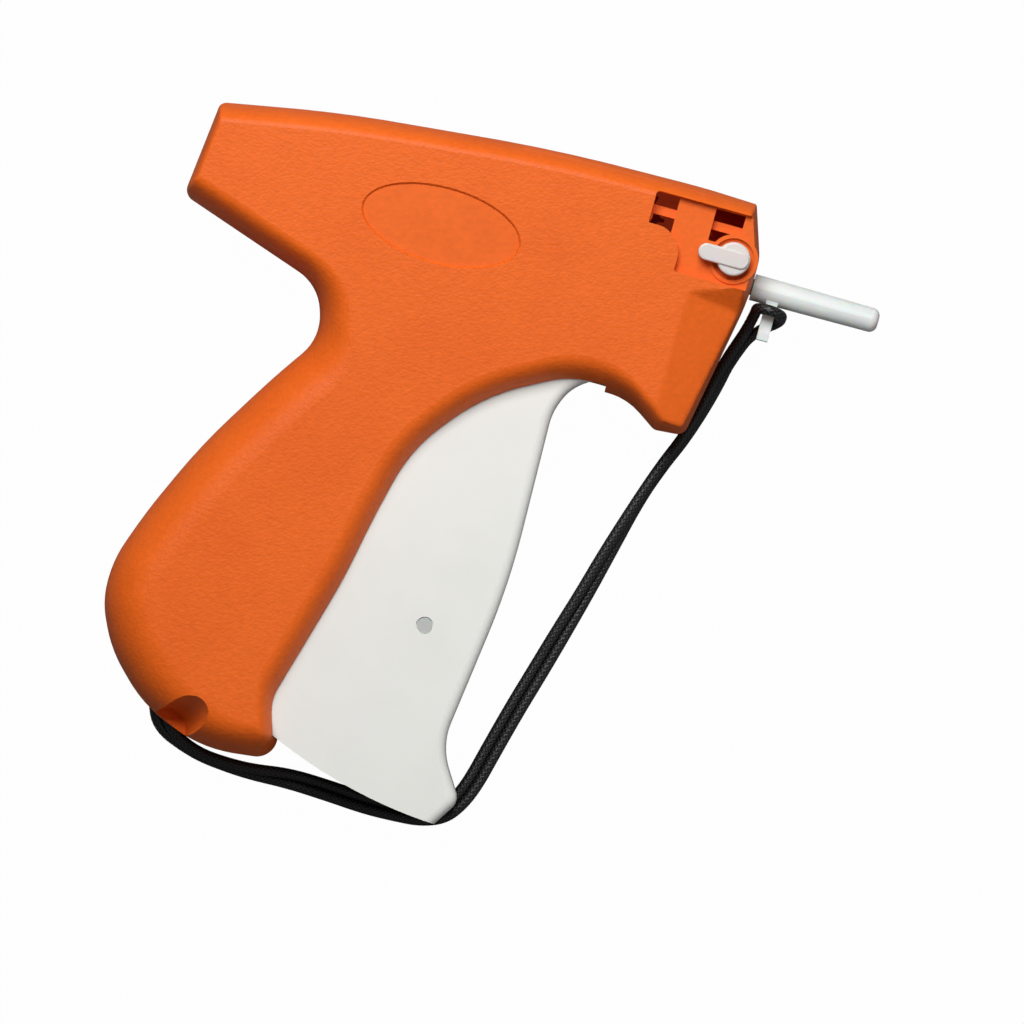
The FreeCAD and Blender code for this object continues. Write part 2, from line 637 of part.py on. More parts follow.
def make_spring_seat():
    """Cup on a peg at the back of the grip."""
    y = CROSS_PIN_AT[1]
    cup = rod_x(SPRING_END_X, SPRING_END_X + SEAT_T, SEAT_R, y)
    return cup.fuse(rod_x(SPRING_END_X + SEAT_T, SPRING_END_X + SEAT_T + SEAT_PEG, SPRING_COIL_R - 1.0, y))


# ---------------------------------------------------------------- needle, knob and cap
def make_hub():
    """Moulded hub of the changeable needle, notched for the knob's shaft."""
    z0, z1 = MID - HUB_HALF, MID + HUB_HALF
    body = block(HUB_X[0], HUB_X[1], -HUB_LOW, HUB_TOP, z0, z1)
    nose = rod_x(HUB_X[1] - 0.5, CAP_X[0] + 3.0, HUB_NOSE_R)
    notch = disc(KNOB_AT, KNOB_SHAFT_R + SLIDE_GAP, z0 - 1, z1 + 1)
    bore = rod_x(HUB_X[0] - 1, CAP_X[0] + 5, NEEDLE_R)
    mouth = Part.makeCone(1.9, NEEDLE_R - 0.1, 3.0, V(HUB_X[0] - 0.01, 0, MID), V(1, 0, 0))
    return body.fuse(nose).cut(notch).cut(bore).cut(mouth)


def make_needle():
    """Slotted tube with a slanted point. The slot faces the left side."""
    start = HUB_X[0] + NEEDLE_SINK
    tube = rod_x(start, NEEDLE_TIP, NEEDLE_R).cut(rod_x(start - 1, NEEDLE_TIP + 1, ROD_R + 0.12))
    slot = block(start - 1, NEEDLE_TIP + 1, -0.3, 0.3, MID - NEEDLE_R - 1, MID)
    point = prism([(NEEDLE_TIP - NEEDLE_POINT, -NEEDLE_R - 0.2), (NEEDLE_TIP + 1, -NEEDLE_R - 0.2),
                   (NEEDLE_TIP + 1, NEEDLE_R)], MID - 3, MID + 3)
    return tube.cut(slot).cut(point)


def make_cap():
    """Cap over the needle, with a flat tab below for the cord."""
    x0, x1 = CAP_X
    skin = Part.makeCone(CAP_BASE_R, CAP_TIP_R, x1 - x0, V(x0, 0, MID), V(1, 0, 0))
    tip = [edge for edge in skin.Edges if abs(edge.CenterOfMass.x - x1) < 0.1 and edge.BoundBox.XLength < 0.1]
    skin = skin.makeFillet(1.6, tip)
    height, lip = TAB_FOOT
    neck = block(*TAB_X, TAB_LOW, 0, MID - TAB_HALF, MID + TAB_HALF)
    foot = block(*TAB_X, TAB_LOW, TAB_LOW + height, MID - TAB_HALF - lip, MID + TAB_HALF + lip)
    bore = rod_x(x0 - 1, x1 - CAP_END_T, HUB_NOSE_R + RUN_GAP)
    return skin.fuse([neck, foot]).cut(bore)


def top_edges(shape, z):
    return [edge for edge in shape.Edges if edge.BoundBox.ZMin > z - 0.01]


def make_knob():
    """Round knob with a raised lever bar across it, and a shaft with a flat."""
    x, y = KNOB_AT
    reach, width = KNOB_BAR
    top = THICK + KNOB_TOP
    low = RECESS_Z - WELL_T + SLIDE_GAP
    over_rim = RECESS_Z + RIM_T + SLIDE_GAP
    head = disc(KNOB_AT, KNOB_R, low, top - BAR_STEP)
    head = head.makeFillet(0.5, top_edges(head, top - BAR_STEP))
    x0, x1 = x - reach + width / 2, x + KNOB_R - width / 2 - 0.2
    ends = [disc((x0, y), width / 2, over_rim, top), disc((x1, y), width / 2, over_rim, top)]
    bar = block(x0, x1, y - width / 2, y + width / 2, over_rim, top).fuse(ends).removeSplitter()
    bar = bar.makeFillet(0.4, top_edges(bar, top))
    shaft = disc(KNOB_AT, KNOB_SHAFT_R, KNOB_FOOT, low + 0.1)
    groove = ring(KNOB_AT, KNOB_SHAFT_R + 1, KNOB_SHAFT_R - CLIP_BITE, *CLIP_Z)
    flat = block(x - 3, x + 3, y + KNOB_SHAFT_R / 2, y + 3, KNOB_FOOT - 1, MID + HUB_HALF + 0.5)
    return head.fuse([bar, shaft.cut(groove).cut(flat)])


def make_knob_clip():
    """Open spring ring in the shaft's groove."""
    z0, z1 = CLIP_Z[0] + 0.05, CLIP_Z[1] - 0.05
    clip = ring(KNOB_AT, KNOB_SHAFT_R + CLIP_REACH, KNOB_SHAFT_R - CLIP_BITE, z0, z1)
    x, y = KNOB_AT
    return clip.cut(block(x - 1.0, x + 1.0, y, y + 5, z0 - 1, z1 + 1))


# ---------------------------------------------------------------- casing
def trigger_slot():
    """Opening for the trigger along the arch and the grip's front."""
    loop, shifts, radii = trigger_outline(TRIGGER_HIDE + 0.6, -14)
    opening = prism(inset(loop, shifts), *SLOT_Z)
    sweep = disc(PIVOT, TRIGGER_REACH + SLOT_GAP, *SLOT_Z)
    return opening.common(sweep).common(block(-200, SLOT_END[0], -200, SLOT_END[1], *SLOT_Z))


def recess(z0, z1):
    return Part.Face(rounded(RECESS, RECESS_RADII, z0)).extrude(V(0, 0, z1 - z0))


def facet(start, end, slope):
    """Solid over a plane that falls off, at slope degrees, to the right of a line across the casing's face."""
    reach = 60
    ahead = V(end[0] - start[0], end[1] - start[1], 0).normalize()
    across = V(ahead.y, -ahead.x, 0)
    corner = V(start[0], start[1], THICK) - ahead * reach
    fall = V(0, 0, -reach * math.tan(math.radians(slope)))
    over = V(0, 0, 1)
    loop = [corner, corner + across * reach + fall, corner + across * reach + over, corner + over]
    return Part.Face(Part.makePolygon(loop + loop[:1])).extrude(ahead * 2 * reach)


def scoop(wall):
    """Slanting cylinder of the scoop at the butt, larger by wall round it and at its floor."""
    heading, tilt = math.radians(SCOOP_HEADING), math.radians(SCOOP_TILT)
    axis = V(math.cos(heading) * math.cos(tilt), math.sin(heading) * math.cos(tilt), -math.sin(tilt))
    before, after = SCOOP_L
    return Part.makeCylinder(SCOOP_R + wall, before + after + wall, V(*SCOOP_AT, THICK) - axis * before, axis)


def fittings(side):
    """Bosses and ribs of one half as solids that reach into its wall. side is -1 left, +1 right."""
    wall = WALL / 2 if side < 0 else THICK - WALL / 2

    def span(z):
        return (wall, z) if side < 0 else (z, wall)

    solids = [disc(at, SCREW_R + BOSS_WALL, *span(MID)) for at in SCREWS]
    if side < 0:
        head_end = SCREW_SINK + SCREW_HEAD_T
        solids += [disc(at, SCREW_HEAD_R + BOSS_WALL, *span(head_end + BOSS_WALL)) for at in SCREWS]
    pivot_face = TRIGGER_Z[0] - SLIDE_GAP if side < 0 else TRIGGER_Z[1] + SLIDE_GAP
    solids.append(disc(PIVOT, PIVOT_R + 2, *span(pivot_face)))
    gear_face = PINION_Z[0] - GEAR_GAP if side < 0 else GEAR_Z[1] + GEAR_GAP
    solids.append(disc(GEAR_AT, SHAFT_R + 2, *span(gear_face)))
    # stop rib behind the rubber pad
    solids.append(block(STOP_X - STOP_T, STOP_X, -4.6, 3.4, *span(MID)))
    # cup for the spring's seat
    y = CROSS_PIN_AT[1]
    solids.append(block(SPRING_END_X - 6, SPRING_END_X, y - 4, y + 4, *span(MID)))
    # walls that hold the needle hub and guide the fasteners
    hub_face = MID + side * (HUB_HALF + SEAT_GAP)
    solids.append(block(HUB_X[0] + 1, 20.5, -3.4, 2.2, *span(hub_face)))
    solids.append(block(HUB_X[0] + 0.4, 28.0, -5.6, -HUB_LOW - SEAT_GAP, *span(MID)))
    # axle of the feed wheel
    wheel_face = RATCHET_Z[0] - 0.2 if side < 0 else WHEEL_Z[1] + 0.3
    solids.append(disc(WHEEL_AT, AXLE_R + 1.5, *span(wheel_face)))
    if side < 0:
        # track under the slide, seat of the detent spring, foot of the cutter, walls of the cord's notch
        solids.append(block(STOP_X, -46.0, RACK_ROOT, 1.6, *span(SLIDE_Z[0] - SLIDE_GAP)))
        solids.append(block(DETENT_FOOT[0] - 1.5, DETENT_FOOT[1], WHEEL_AT[1] + 4.4, 16.0, *span(RATCHET_Z[1])))
        solids.append(block(DETENT_FOOT[0], DETENT_FOOT[1], WHEEL_AT[1] + 1.0, 16.0, *span(RATCHET_Z[0] + 0.2)))
        solids.append(block(CUTTER_X[0] - 1.0, CUTTER_X[1] + 0.9, -6.0, CUTTER_Y[0] + 1.2, *span(CUTTER_Z[1])))
        solids += [disc(at, NOTCH_R + WALL, *span(MID)) for at in NOTCH]
    else:
        # post with a slot for the rod's guide plate, and the slide's upper and outer tracks
        solids.append(block(GUIDE_X[0] - 1.2, GUIDE_X[1] + 0.6, *GUIDE_Y, *span(MID + ROD_R + 0.4)))
        solids.append(block(STOP_X, -24.0, BLOCK_TOP + SLIDE_GAP, 4.4, *span(SLIDE_Z[0] + 0.4)))
        solids.append(block(STOP_X, -26.0, -3.6, 0.8, *span(SLIDE_Z[1] + SLIDE_GAP)))
        # floors of the recess and the facet, the windows' rib, and the scoop's wall
        floor = RECESS_Z - FLOOR_T
        solids.append(block(2.0, 30.0, -4.5, 16.0, floor, THICK - 1))
        solids.append(block(BEVEL_X - 3.5, 30.0, -36.0, -3.0, floor - 2.5, THICK - 1))
        solids.append(block(2.4, 25.0, *WINDOW_RIB, floor - 4.5, floor + 0.5))
        solids.append(scoop(SCOOP_WALL).common(block(-200, 50, -200, 50, MID, THICK)))
    return solids


def holes(side):
    """Bores of one half."""
    cuts = []
    for at in SCREWS:
        if side < 0:
            cuts.append(disc(at, SCREW_R + 0.2, -1, MID + 1))
            cuts.append(disc(at, SCREW_HEAD_R + 0.2, -1, SCREW_HEAD_T + SCREW_SINK))
        else:
            cuts.append(disc(at, SCREW_R, MID - 1, SCREW_END))
    ends = (SHAFT_SINK, MID) if side < 0 else (MID, THICK - SHAFT_SINK)
    for at, radius in ((PIVOT, PIVOT_R), (GEAR_AT, SHAFT_R)):
        cuts.append(disc(at, radius, *ends))
    axle = (AXLE_START, MID) if side < 0 else (MID, RECESS_Z - SHAFT_SINK)
    cuts.append(disc(WHEEL_AT, AXLE_R, *axle))
    cuts.append(trigger_slot())
    cuts.append(block(*CHANNEL_X, -CHANNEL_HALF, 20.0, MID - CHANNEL_HALF, MID + CHANNEL_HALF))
    cuts.append(rod_x(HUB_X[1] - 1, 32.0, NOSE_HOLE_R))
    cuts.append(block(HUB_X[0], HUB_X[1] + 0.2, -HUB_LOW - SEAT_GAP, HUB_TOP + 3.2,
                      MID - HUB_HALF - SEAT_GAP, MID + HUB_HALF + SEAT_GAP))
    cuts.append(block(*GUIDE_X, GUIDE_Y[0] - 1, GUIDE_Y[1] - 0.4, *GUIDE_Z))
    cuts.append(block(*BUMPER_X, *BUMPER_Y, MID - BUMPER_HALF, MID + BUMPER_HALF))
    cuts.append(block(*CUTTER_X, *CUTTER_Y, *CUTTER_Z))
    cuts.append(rod_x(-14.0, ROD_TIP + 1, ROD_R + 0.6))
    cuts.append(rod_x(SPRING_END_X, SPRING_END_X + SEAT_T, SEAT_R + SEAT_GAP, CROSS_PIN_AT[1]))
    return cuts


def make_casing():
    """Both halves. The part of the hidden half in front of the thread's way belongs to the other one."""
    outer = casing_half(0)
    hollow = casing_half(WALL)
    shells = []
    for side in (-1, 1):
        form = outer if side > 0 else mirrored(outer)
        core = hollow if side > 0 else mirrored(hollow)
        inside = fittings(side)
        inside = inside[0].fuse(inside[1:]).common(form)
        shell = form.cut(core).fuse(inside)
        shells.append(shell.cut(holes(side)))
    left, right = shells

    way_down = block(*THREAD_X, -THREAD_HALF, 25, -1, MID - CHANNEL_HALF + 0.01)
    way_out = block(THREAD_X[0], 35, -THREAD_HALF, THREAD_HALF, -1, MID - CHANNEL_HALF + 0.01)
    left = left.cut([way_down, way_out])
    corner = block(THREAD_X[1] - 0.5, 40, THREAD_HALF - 0.5, 40, -1, MID)
    right = right.fuse(left.common(corner))
    left = left.cut(corner)

    over = 1.0
    slope = BADGE_SLOPE / BADGE_T
    badge = []
    for z in (THICK - BADGE_T, THICK + over):
        grown = slope * (z - THICK + BADGE_T)
        oval = Part.Ellipse(V(*BADGE_AT, z), BADGE_R[0] + grown, BADGE_R[1] + grown)
        badge.append(Part.Wire(oval.toShape()))
    cuts = [Part.makeLoft(badge, True, True), recess(RECESS_Z, THICK + over)]
    under = RECESS_Z - FLOOR_T - 0.1
    for x0, x1, y0, y1 in WINDOWS:
        window = block(x0, x1, y0, y1, under, THICK).common(recess(under, THICK))
        cuts.append(window.cut(disc(KNOB_AT, RIM_R, under, THICK)))
    side_fall = facet((BEVEL_X, -1), (BEVEL_X, 0), BEVEL_SLOPE)
    cuts.append(side_fall.common(facet(*BEVEL_TOP, BEVEL_TOP_SLOPE)))
    cuts.append(scoop(0))
    cuts.append(disc(KNOB_AT, KNOB_SHAFT_R + SLIDE_GAP, KNOB_FOOT - 1, THICK))
    cuts.append(disc(KNOB_AT, WELL_R, RECESS_Z - WELL_T, THICK))
    cuts.append(disc(KNOB_AT, KNOB_SHAFT_R + CLIP_REACH + 0.3, MID + HUB_HALF, CLIP_Z[1] + 0.05))
    rim = ring(KNOB_AT, RIM_R, WELL_R, RECESS_Z - 0.2, RECESS_Z + RIM_T)
    right = right.cut(cuts).fuse(rim)

    left = left.cut([disc(at, NOTCH_R, -1, NOTCH_FLOOR) for at in NOTCH])
    left = left.cut(disc(POST_AT, POST_R, NOTCH_FLOOR - 1, MID + 1))
    return left, right


def make_screws():
    """Five case screws as separate solids."""
    screws = []
    for x, y in SCREWS:
        head = disc((x, y), SCREW_HEAD_R, SCREW_SINK, SCREW_SINK + SCREW_HEAD_T)
        screw = head.fuse(disc((x, y), SCREW_R, SCREW_SINK, SCREW_END - 1.0))
        cross_end = SCREW_SINK + SCREW_HEAD_T / 2
        for dx, dy in ((2.0, 0.3), (0.3, 2.0)):
            screw = screw.cut(block(x - dx, x + dx, y - dy, y + dy, -1, cross_end))
        screws.append(screw)
    return Part.makeCompound(screws)


def make_post():
    """Post in the butt's hidden notch that the cord's crimp hangs on."""
    lip, thick = POST_HEAD
    shank = disc(POST_AT, POST_R, POST_LOW, MID)
    return shank.fuse(disc(POST_AT, POST_R + lip, POST_LOW, POST_LOW + thick))


# ---------------------------------------------------------------- cord
def strand(side):
    """One strand of the bundle. The one on the left of the middle line (side 1) climbs on the other
    where they lie close together."""
    points = []
    for i, (x, y, z, half) in enumerate(BUNDLE):
        (ax, ay), (bx, by) = BUNDLE[max(i - 1, 0)][:2], BUNDLE[min(i + 1, len(BUNDLE) - 1)][:2]
        length = math.hypot(bx - ax, by - ay)
        climb = 2 * math.sqrt(STRAND_HALF**2 - half**2) if side > 0 else 0
        points.append((x - side * half * (by - ay) / length, y + side * half * (bx - ax) / length, z + climb))
    return points


def make_cord():
    """Round cord along straight runs and tangent arcs."""
    route = [V(*p) for p in strand(1) + WRAP + strand(-1)[::-1]]
    edges = []
    last = route[0]
    for p, q, r in zip(route, route[1:], route[2:]):
        back, ahead = p - q, r - q
        reach = 0.45 * min(back.Length, ahead.Length)
        back.normalize()
        ahead.normalize()
        half = (math.pi - back.getAngle(ahead)) / 2
        radius = reach / math.tan(half)
        start, end = q + back * reach, q + ahead * reach
        middle = q + (back + ahead).normalize() * (radius / math.cos(half) - radius)
        edges.append(Part.LineSegment(last, start).toShape())
        edges.append(Part.Arc(start, middle, end).toShape())
        last = end
    edges.append(Part.LineSegment(last, route[-1]).toShape())
    path = Part.Wire(edges)
    section = Part.Wire(Part.makeCircle(CORD_D / 2, route[0], route[1] - route[0]))
    tube = path.makePipeShell([section], True, False)
    expected = math.pi * CORD_D**2 / 4 * path.Length
    print(f"cord length {path.Length:.1f}, volume {tube.Volume:.0f} of {expected:.0f}")
    return tube


def make_crimp():
    """Eyelet on the post with a sleeve that both ends of the cord go into."""
    z0, z1 = CRIMP_Z
    (x0, y0), (x1, y1) = POST_AT, BUNDLE[0][:2]
    length = math.hypot(x1 - x0, y1 - y0)
    ux, uy = (x1 - x0) / length, (y1 - y0) / length
    half = STRAND_HALF + CORD_D / 2 + 0.3
    ends = ((CRIMP_START, half), (CRIMP_START, -half), (length, -half), (length, half))
    corners = [(x0 + ux * a - uy * b, y0 + uy * a + ux * b) for a, b in ends]
    sleeve = prism(corners, z0, z1)
    eye = disc(POST_AT, CRIMP_R, z0, z1)
    return eye.fuse(sleeve).removeSplitter().cut(disc(POST_AT, POST_R + SEAT_GAP, z0 - 1, z1 + 1))


# ---------------------------------------------------------------- build
left_shell, right_shell = make_casing()
save("left_shell", left_shell)
save("right_shell", right_shell)
save("case_screws", make_screws())
save("trigger", make_trigger())
save("trigger_pivot_pin", disc(PIVOT, PIVOT_R, SHAFT_SINK, THICK - SHAFT_SINK))
pin_ends = (TRIGGER_Z[0] + CROSS_PIN_SINK, TRIGGER_Z[1] - CROSS_PIN_SINK)
save("trigger_cross_pin", disc(CROSS_PIN_AT, CROSS_PIN_R, *pin_ends))
save("trigger_return_spring", make_spring())
save("spring_seat", make_spring_seat())
save("cluster_gear", make_cluster())
save("gear_shaft", disc(GEAR_AT, SHAFT_R, SHAFT_SINK, THICK - SHAFT_SINK))
save("push_slide", make_slide())
save("push_rod", rod_x(BLOCK_X[0] + BLOCK_BORE, ROD_TIP, ROD_R))
save("rod_clamp_screw", make_clamp_screw())
guide = block(*GUIDE_X, GUIDE_Y[0], GUIDE_Y[1] - 0.4, *GUIDE_Z)
save("rod_guide", guide.cut(rod_x(GUIDE_X[0] - 1, GUIDE_X[1] + 1, ROD_R + RUN_GAP)))
save("rear_bumper", block(*BUMPER_X, *BUMPER_Y, MID - BUMPER_HALF, MID + BUMPER_HALF))
save("feed_axle", disc(WHEEL_AT, AXLE_R, AXLE_START, RECESS_Z - SHAFT_SINK))
save("feed_wheel", make_feed_wheel())
save("ratchet_wheel", make_ratchet())
save("feed_pawl", make_pawl())
save("pawl_pin", make_pawl_pin())
save("detent_spring", make_detent())
save("needle_hub", make_hub())
save("needle", make_needle())
save("cutter_blade", block(*CUTTER_X, *CUTTER_Y, *CUTTER_Z))
save("needle_lock_knob", make_knob())
save("knob_clip", make_knob_clip())
save("needle_cap", make_cap())
save("lanyard_post", make_post())
save("cord_crimp", make_crimp())
save("strap_cord", make_cord())
print(f"gear centre {GEAR_X:.2f} {GEAR_Y:.2f}, mesh angle {MESH_ANGLE:.2f}, ratio {RATIO:.4f}, stroke {STROKE:.2f}")
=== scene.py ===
# %% [markdown]
# A garment tag attacher lies on its left side on a table. It has an orange moulded casing,
# an off-white trigger, a milky cap over the needle, a little key-shaped knob beside the nose and a
# doubled braided cord that ties the cap to the butt. The solid parts come from the packed
# model, so this lesson is about what the model can't carry: the camera, the braid of the
# cord, the finishes of the plastics and the light.

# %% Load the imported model
import json
import math

import bpy
import numpy as np
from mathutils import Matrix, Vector


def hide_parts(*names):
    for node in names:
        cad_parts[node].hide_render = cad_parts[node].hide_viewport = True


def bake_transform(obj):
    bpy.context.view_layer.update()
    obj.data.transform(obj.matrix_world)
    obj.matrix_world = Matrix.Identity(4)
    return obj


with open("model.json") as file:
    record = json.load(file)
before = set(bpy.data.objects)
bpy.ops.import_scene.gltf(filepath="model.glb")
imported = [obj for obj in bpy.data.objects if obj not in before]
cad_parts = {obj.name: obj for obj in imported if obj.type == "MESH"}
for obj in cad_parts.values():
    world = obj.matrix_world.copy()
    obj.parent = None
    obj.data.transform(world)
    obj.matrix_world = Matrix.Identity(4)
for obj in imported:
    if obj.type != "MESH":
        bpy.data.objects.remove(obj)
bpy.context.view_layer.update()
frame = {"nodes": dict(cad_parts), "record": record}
nodes = frame["nodes"]
MM = 0.001

# %% [markdown]
# The camera looks straight down, from far enough away that the sides of the casing hardly
# show. It is rolled a little, so that the needle points to the right and down. The focal
# length follows from the width of table that has to fill the frame.

# %% Camera
ROLL = math.radians(15.5)
AIM = Vector((-6.5, -57.6, 13.0)) * MM
DISTANCE = 2.0
FRAME_WIDTH = 0.2099
SENSOR = 36.0

camera_data = bpy.data.cameras.new("camera")
camera_data.sensor_width = SENSOR
camera_data.lens = SENSOR * DISTANCE / FRAME_WIDTH
camera_data.clip_start = 0.1
camera = bpy.data.objects.new("camera", camera_data)
camera.location = AIM + Vector((0, 0, DISTANCE))
camera.rotation_euler = (0, 0, ROLL)
bpy.context.scene.collection.objects.link(camera)
bpy.context.scene.camera = camera
print(f"lens {camera_data.lens:.0f} mm")

# %% [markdown]
# The cord is one length that runs from the crimp at the butt to the cap, once round the
# cap's tab, and all the way back beside itself. A NURBS line through listed points gives
# it the ease of something limp that lies on a table. The two strands keep the same distance
# from one middle line, so only that line is written down, with the height of the lower strand
# and half the distance between them seen from above. Where that is small, one strand has
# climbed on the other.

# %% Route of the cord
CORD_D = 2.2
STRAND_HALF = 1.1
BUNDLE = [
    (-66.0, -114.2, 5.5, 1.2), (-65.3, -117.0, 5.4, 1.2), (-63.2, -119.6, 3.6, 0.85),
    (-59.4, -121.6, 1.8, 0.45), (-55.3, -122.9, 1.2, 0.35), (-51.0, -123.4, 1.2, 0.4),
    (-44.3, -123.6, 1.2, 0.6), (-36.2, -122.8, 1.2, 1.05), (-27.5, -123.1, 1.2, 1.2),
    (-19.6, -123.6, 1.2, 1.2), (-13.3, -123.4, 1.2, 1.2), (-7.9, -123.0, 1.2, 1.2),
    (-3.5, -121.3, 1.2, 1.2), (-1.0, -117.8, 1.2, 1.2), (0.8, -113.2, 1.2, 1.2),
    (2.5, -106.1, 1.2, 1.2), (4.9, -96.6, 1.2, 1.2), (7.3, -88.2, 1.2, 1.2),
    (9.6, -79.8, 1.2, 1.05), (12.3, -70.1, 1.2, 0.85), (14.7, -60.5, 1.2, 0.7),
    (18.1, -47.9, 1.2, 0.2), (21.0, -39.6, 1.2, 0.25), (23.45, -33.95, 1.2, 0.3),
    (25.65, -26.8, 1.4, 0.4), (27.0, -20.6, 2.6, 0.6),
]
WRAP = [
    (27.2, -16.9, 6.1), (28.3, -13.4, 7.7), (29.5, -9.9, 9.2), (30.1, -7.7, 10.1),
    (30.5, -5.8, 11.5), (30.7, -4.5, 13.5), (30.65, -4.0, 15.8), (32.2, -3.8, 17.35),
    (34.4, -3.85, 17.35), (35.95, -4.2, 15.8), (36.05, -4.6, 13.4), (36.0, -5.2, 11.1),
    (35.1, -6.1, 9.2), (33.5, -7.2, 8.2), (31.85, -8.8, 7.5), (30.5, -10.7, 6.8),
    (29.3, -13.8, 5.6), (28.2, -17.2, 4.0),
]


def strand(side):
    """Points of one strand. Side 1 is left of the middle line, and the one that climbs."""
    points = []
    for i, (x, y, z, half) in enumerate(BUNDLE):
        (ax, ay), (bx, by) = BUNDLE[max(i - 1, 0)][:2], BUNDLE[min(i + 1, len(BUNDLE) - 1)][:2]
        length = math.hypot(bx - ax, by - ay)
        half = min(half, STRAND_HALF)
        climb = 2 * math.sqrt(STRAND_HALF**2 - half**2) if side > 0 else 0
        points.append((x - side * half * (by - ay) / length, y + side * half * (bx - ax) / length, z + climb))
    return points


def smooth_line(points, steps):
    """Points along a NURBS line that has the given points as its control points."""
    data = bpy.data.curves.new("route", "CURVE")
    data.dimensions = "3D"
    data.resolution_u = steps
    spline = data.splines.new("NURBS")
    spline.points.add(len(points) - 1)
    for point, place in zip(spline.points, points):
        point.co = (*(c * MM for c in place), 1.0)
    spline.order_u = 3
    spline.use_endpoint_u = True
    holder = bpy.data.objects.new("route", data)
    bpy.context.scene.collection.objects.link(holder)
    bpy.context.view_layer.update()
    mesh = bpy.data.meshes.new_from_object(holder)
    line = np.array([v.co for v in mesh.vertices])
    bpy.data.objects.remove(holder)
    bpy.data.meshes.remove(mesh)
    return line


cord_route = strand(1) + WRAP + strand(-1)[::-1]
cord_line = smooth_line(cord_route, 24)

# %% [markdown]
# Round braid is yarns that wind both ways and pass over and under each other. Separate yarns
# would need sixteen tubes. One tube does as well at this size, if its radius rises where a
# yarn lies on top and falls in the pits between four yarns. The tube is swept with a frame
# that doesn't twist, so the braid runs straight along the cord.

# %% Braided tube
YARNS = 8
YARN_PITCH = 1.1
RING_STEP = 0.15
RING_POINTS = 40
BRAID_DEPTH = 0.22
CROWN_RISE = 0.05        # how far a crown stands out of the cord's own radius


def even_line(line, step):
    """The same line with its points a fixed distance apart."""
    reach = np.concatenate([[0], np.cumsum(np.linalg.norm(np.diff(line, axis=0), axis=1))])
    places = np.linspace(0, reach[-1], int(reach[-1] / step) + 1)
    return np.stack([np.interp(places, reach, line[:, k]) for k in range(3)], 1), places


def carried_frames(line):
    """Two side directions at each point, carried along the line without twist."""
    ahead = np.gradient(line, axis=0)
    ahead /= np.linalg.norm(ahead, axis=1)[:, None]
    side = np.cross(ahead[0], (0, 0, 1))
    sides = []
    for direction in ahead:
        side = side - direction * (side @ direction)
        side /= np.linalg.norm(side)
        sides.append(side)
    sides = np.array(sides)
    return sides, np.cross(ahead, sides)


def braid_height(turn, along):
    """Height of the braid, 0 in a pit and 1 on a crown, by the turn round and the way along."""
    left = turn * YARNS + along / YARN_PITCH
    right = turn * YARNS - along / YARN_PITCH
    over = (np.floor(left) + np.floor(right)) % 2
    round_left = np.sqrt(np.clip(1 - (2 * (left % 1) - 1) ** 2, 0, 1))
    round_right = np.sqrt(np.clip(1 - (2 * (right % 1) - 1) ** 2, 0, 1))
    return np.maximum(round_left * (0.55 + 0.45 * over), round_right * (1 - 0.45 * over))


def tube_mesh(name, line, radii):
    """Closed tube of rings round the line. radii holds one row of radii for each ring."""
    count, around = radii.shape
    sides, ups = carried_frames(line)
    angle = np.arange(around) * 2 * math.pi / around
    rings = (line[:, None] + radii[..., None] * (np.cos(angle)[None, :, None] * sides[:, None]
                                                 + np.sin(angle)[None, :, None] * ups[:, None]))
    places = np.concatenate([rings.reshape(-1, 3), line[:1], line[-1:]])
    i, j = np.meshgrid(np.arange(count - 1), np.arange(around), indexing="ij")
    k = (j + 1) % around
    quads = np.stack([i * around + j, (i + 1) * around + j, (i + 1) * around + k, i * around + k], -1)
    faces = quads.reshape(-1, 4).tolist()
    first, last = count * around, count * around + 1
    for j in range(around):
        k = (j + 1) % around
        faces.append((first, j, k))
        faces.append((last, (count - 1) * around + k, (count - 1) * around + j))
    mesh = bpy.data.meshes.new(name)
    mesh.from_pydata(places.tolist(), [], faces)
    mesh.polygons.foreach_set("use_smooth", [True] * len(mesh.polygons))
    mesh.update()
    piece = bpy.data.objects.new(name, mesh)
    bpy.context.scene.collection.objects.link(piece)
    return piece


ring_line, ring_along = even_line(cord_line, RING_STEP * MM)
turns = np.arange(RING_POINTS) / RING_POINTS
height = braid_height(turns[None, :], ring_along[:, None] / MM)
cord_radii = (CORD_D / 2 + CROWN_RISE - BRAID_DEPTH * (1 - height)) * MM
braided_cord = tube_mesh("braided_cord", ring_line, cord_radii)
crown = braided_cord.data.attributes.new("crown", "FLOAT", "POINT")
end_points = (0.0, 0.0)
crown.data.foreach_set("value", np.append(height.ravel(), end_points))
print(f"braid: {len(ring_line)} rings of {RING_POINTS} points")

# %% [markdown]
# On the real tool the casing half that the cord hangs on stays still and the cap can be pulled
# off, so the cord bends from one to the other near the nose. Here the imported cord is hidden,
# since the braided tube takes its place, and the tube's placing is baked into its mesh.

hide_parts("strap_cord")
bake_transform(braided_cord)

# %% [markdown]
# Each finish is a small network. These helpers keep the lines that build one short: one
# adds a node and sets its values, the other starts a material from a single Principled
# shader.

# %% Helpers for materials


def add_node(tree, kind, **values):
    """A new node. Words that match a property set it, and sockets are filled from a dict."""
    node = tree.nodes.new(kind)
    sockets = values.pop("sockets", {})
    for key, value in values.items():
        setattr(node, key, value)
    for key, value in sockets.items():
        node.inputs[key].default_value = value
    return node


def start_material(name, colour, roughness, **sockets):
    """A material with one Principled shader. Returns it, its tree and the shader."""
    material = bpy.data.materials.new(name)
    material.use_nodes = True
    tree = material.node_tree
    shader = tree.nodes["Principled BSDF"]
    shader.inputs["Base Color"].default_value = (*colour, 1.0)
    shader.inputs["Roughness"].default_value = roughness
    for key, value in sockets.items():
        shader.inputs[key.replace("_", " ")].default_value = value
    return material, tree, shader


